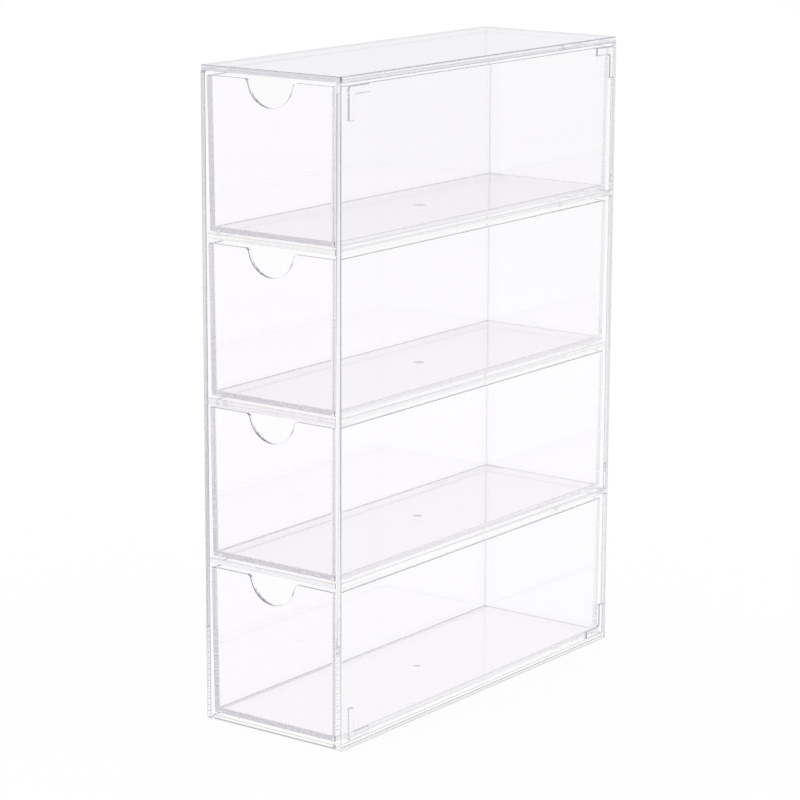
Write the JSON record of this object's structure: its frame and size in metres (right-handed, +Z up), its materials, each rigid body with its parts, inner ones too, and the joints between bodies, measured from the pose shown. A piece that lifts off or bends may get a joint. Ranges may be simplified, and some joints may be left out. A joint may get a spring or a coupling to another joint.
{
  "type": "sunglasses storage case",
  "caption": "Upright clear plastic case with open-topped drawers that pull out at the front, each with a finger notch in its front wall, for keeping folded sunglasses.",
  "frame": {"origin": "centre of the case's underside, where it stands; the ribs on the right panel are left out of that centre", "axes": "+Z up along the height, -Y out of the front where the drawers open, +X towards the panel with the corner ribs"},
  "size_m": [0.066, 0.18, 0.25],
  "materials": {
    "case_plastic": "clear, glossy, very faintly lavender grey; the edges read darker than the faces",
    "drawer_plastic": "clear, glossy, moulded, with a gate mark in the middle of the floor"
  },
  "bodies": {
    "case": {"top_panel": "case_plastic", "bottom_panel": "case_plastic", "left_side_panel": "case_plastic", "right_side_panel": "case_plastic", "back_panel": "case_plastic", "upper_shelf": "case_plastic", "middle_shelf": "case_plastic", "lower_shelf": "case_plastic"},
    "drawer_1_body": {"drawer_1": "drawer_plastic"},
    "drawer_2_body": {"drawer_2": "drawer_plastic"},
    "drawer_3_body": {"drawer_3": "drawer_plastic"},
    "drawer_4_body": {"drawer_4": "drawer_plastic"}
  },
  "joints": [
    {"name": "drawer_1_slide", "type": "slide", "parent": "case", "child": "drawer_1_body", "axis": [0, -1, 0], "range_m": [0, 0.15]},
    {"name": "drawer_2_slide", "type": "slide", "parent": "case", "child": "drawer_2_body", "axis": [0, -1, 0], "range_m": [0, 0.15]},
    {"name": "drawer_3_slide", "type": "slide", "parent": "case", "child": "drawer_3_body", "axis": [0, -1, 0], "range_m": [0, 0.15]},
    {"name": "drawer_4_slide", "type": "slide", "parent": "case", "child": "drawer_4_body", "axis": [0, -1, 0], "range_m": [0, 0.15]}
  ]
}
